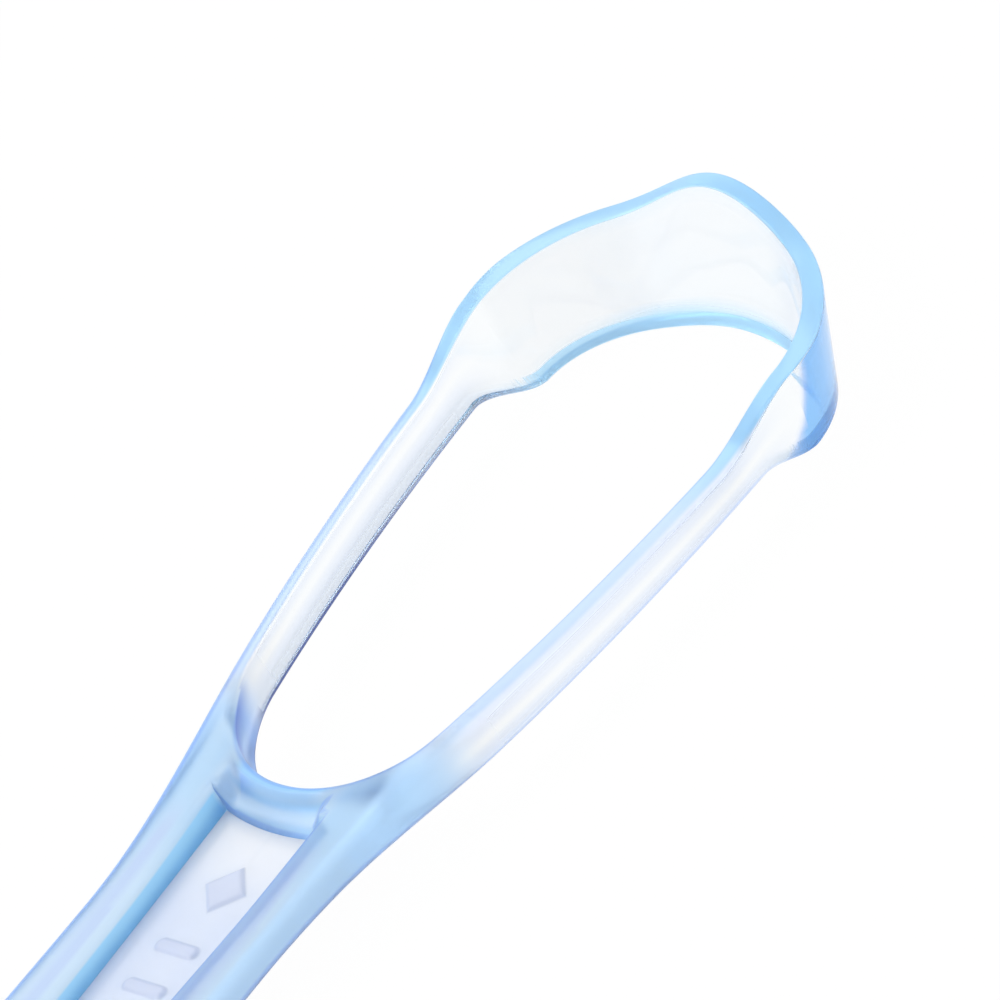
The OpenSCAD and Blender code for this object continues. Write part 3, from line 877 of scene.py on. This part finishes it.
def clear_acrylic(name, tinted, finish):
    """Clear acrylic, injection moulded in a polished mould: glassy gloss, and bluer the thicker it is.

    Its roughness grows to that of frosted acrylic where finish says so.
    """
    material = bpy.data.materials.new(name)
    material.use_nodes = True
    tree = material.node_tree
    tree.nodes.clear()
    place = node(tree, "ShaderNodeTexCoord").outputs["Object"]
    # Flow marks about 4.5 mm long, and a faint haze in spots of about 1.1 mm from handling
    flow = node(tree, "ShaderNodeTexNoise", {"Vector": place, "Scale": 0.22 / MM, "Detail": 2})
    haze = node(tree, "ShaderNodeTexNoise", {"Vector": place, "Scale": 0.9 / MM, "Detail": 3})
    fine = node(tree, "ShaderNodeMapRange", {"Value": haze.outputs["Fac"], "To Min": 0.02, "To Max": 0.05})
    bump = node(tree, "ShaderNodeBump",
                {"Height": flow.outputs["Fac"], "Strength": 0.02, "Distance": 0.2 * MM})
    tint = node(tree, "ShaderNodeVertexColor", layer_name="tint").outputs["Color"]
    surface = node(tree, "ShaderNodeBsdfPrincipled", {
        "IOR": 1.5, "Normal": bump.outputs["Normal"], **finish(tree, tint, fine.outputs["Result"])})
    depth = node(tree, "ShaderNodeVolumeAbsorption", {"Color": linear(tinted), "Density": ABSORPTION / MM})
    node(tree, "ShaderNodeOutputMaterial",
         {"Surface": surface.outputs["BSDF"], "Volume": depth.outputs["Volume"]})
    return material


clear_frame = make_frame()
clear_panel = make_panel()
clear_frame.data.materials.append(clear_acrylic("moulded_blue_acrylic", FRAME_TINT, frame_finish))
clear_panel.data.materials.append(clear_acrylic("frosted_pale_acrylic", PANEL_TINT, panel_finish))
paint_frame(clear_frame)
paint_panel(clear_panel)

for piece, cad_node, slot in ((clear_frame, "frame", "blue_clear_plastic"),
                              (clear_panel, "grip_panel", "pale_clear_plastic")):
    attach(piece, "root")
    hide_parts(cad_node)


def look(azimuth, elevation, roll):
    """The camera's right, up and back directions."""
    a, e, turn = (math.radians(angle) for angle in (azimuth, elevation, roll))
    back = Vector((math.sin(a) * math.cos(e), -math.cos(a) * math.cos(e), math.sin(e)))
    level = Vector((math.cos(a), math.sin(a), 0))
    upright = back.cross(level)
    right = level * math.cos(turn) - upright * math.sin(turn)
    up = upright * math.cos(turn) + level * math.sin(turn)
    return right, up, back


# The camera: what it is aimed from, how far it moves right, up and back from there, and its lens
CAMERA_START, CAMERA_RIGHT, CAMERA_UP, CAMERA_BACK = (70.3, 0, 0.45), -18.85, -14, 700
CAMERA_AZIMUTH, CAMERA_ELEVATION, CAMERA_ROLL, CAMERA_LENS = -29.2, 35.5, 32.3, 327.6


def add_camera():
    data = bpy.data.cameras.new("camera")
    camera = bpy.data.objects.new("camera", data)
    right, up, back = look(CAMERA_AZIMUTH, CAMERA_ELEVATION, CAMERA_ROLL)
    place = Vector(CAMERA_START) + CAMERA_RIGHT * right + CAMERA_UP * up + CAMERA_BACK * back
    camera.matrix_world = Matrix.Translation(place * MM) @ Matrix((right, up, back)).transposed().to_4x4()
    data.lens = CAMERA_LENS
    data.clip_start = 0.01
    bpy.context.scene.collection.objects.link(camera)
    bpy.context.scene.camera = camera


def add_lamp(name, place, size, power):
    """A soft square lamp that points at the scraper, with its place and size in metres."""
    data = bpy.data.lights.new(name, "AREA")
    data.size = size
    data.energy = power
    lamp = bpy.data.objects.new(name, data)
    lamp.location = place
    lamp.rotation_euler = (-Vector(place)).to_track_quat("-Z", "Y").to_euler()
    bpy.context.scene.collection.objects.link(lamp)


def white_share(tree, camera_share):
    """camera_share for rays from the camera, 1 for rays that the clear plastic sends on, 0 for the others."""
    path = node(tree, "ShaderNodeLightPath")
    sent_on = node(tree, "ShaderNodeMath",
                   {0: path.outputs["Is Glossy Ray"], 1: path.outputs["Is Transmission Ray"]},
                   operation="ADD", use_clamp=True)
    share = node(tree, "ShaderNodeMath",
                 {0: path.outputs["Is Camera Ray"], 1: camera_share, 2: sent_on.outputs[0]},
                 operation="MULTIPLY_ADD", use_clamp=True)
    return share.outputs[0]


FLOOR_HALF, FLOOR_DROP = 3, 0.2 * MM


def add_floor():
    """A plain white floor that keeps a faint shadow."""
    mesh = bpy.data.meshes.new("floor")
    corners = [(x * FLOOR_HALF, y * FLOOR_HALF, 0) for x, y in ((-1, -1), (1, -1), (1, 1), (-1, 1))]
    mesh.from_pydata(corners, [], [(0, 1, 2, 3)])
    floor = bpy.data.objects.new("floor", mesh)
    floor.location.z = -FLOOR_DROP
    bpy.context.scene.collection.objects.link(floor)
    # Matt white paper, which glows for the camera so that it stays white to its edges
    material = bpy.data.materials.new("white_paper")
    material.use_nodes = True
    tree = material.node_tree
    tree.nodes.clear()
    matte = node(tree, "ShaderNodeBsdfDiffuse", {"Color": linear(FLOOR_WHITE)})
    glow = node(tree, "ShaderNodeEmission", {"Color": linear(WHITE), "Strength": 1})
    both = node(tree, "ShaderNodeMixShader",
                {0: white_share(tree, 0.98), 1: matte.outputs[0], 2: glow.outputs[0]})
    node(tree, "ShaderNodeOutputMaterial", {"Surface": both.outputs[0]})
    mesh.materials.append(material)


DIM_SIDE = (-0.4, -0.7, 0.58)


def add_world():
    """Even white light, and for rays from the plastic a room that is dimmer behind the camera."""
    world = bpy.data.worlds.new("studio")
    bpy.context.scene.world = world
    world.use_nodes = True
    tree = world.node_tree
    tree.nodes.clear()
    soft = node(tree, "ShaderNodeBackground", {"Color": linear(WHITE), "Strength": 0.95})
    way = node(tree, "ShaderNodeTexCoord").outputs["Generated"]
    towards = node(tree, "ShaderNodeVectorMath", {0: way, 1: DIM_SIDE}, operation="DOT_PRODUCT")
    dim = node(tree, "ShaderNodeMapRange",
               {"Value": towards.outputs["Value"], "From Min": 0.2, "From Max": 0.8})
    shade = node(tree, "ShaderNodeMix",
                 {"Factor": dim.outputs["Result"], 6: linear(WHITE), 7: linear(DIM_WHITE)}, data_type="RGBA")
    white = node(tree, "ShaderNodeBackground", {"Color": shade.outputs[2], "Strength": 1})
    both = node(tree, "ShaderNodeMixShader",
                {0: white_share(tree, 1), 1: soft.outputs[0], 2: white.outputs[0]})
    node(tree, "ShaderNodeOutputWorld", {"Surface": both.outputs[0]})


add_camera()
add_floor()
add_world()
add_lamp("key_lamp", (-0.5, 0.5, 0.9), 0.6, 5)
add_lamp("fill_lamp", (0.6, -0.6, 0.7), 0.8, 2)

scene = bpy.context.scene
scene.view_settings.view_transform = "Standard"
# Light turns many times inside clear plastic before it leaves
scene.cycles.max_bounces = 32
scene.cycles.glossy_bounces = scene.cycles.transmission_bounces = 24
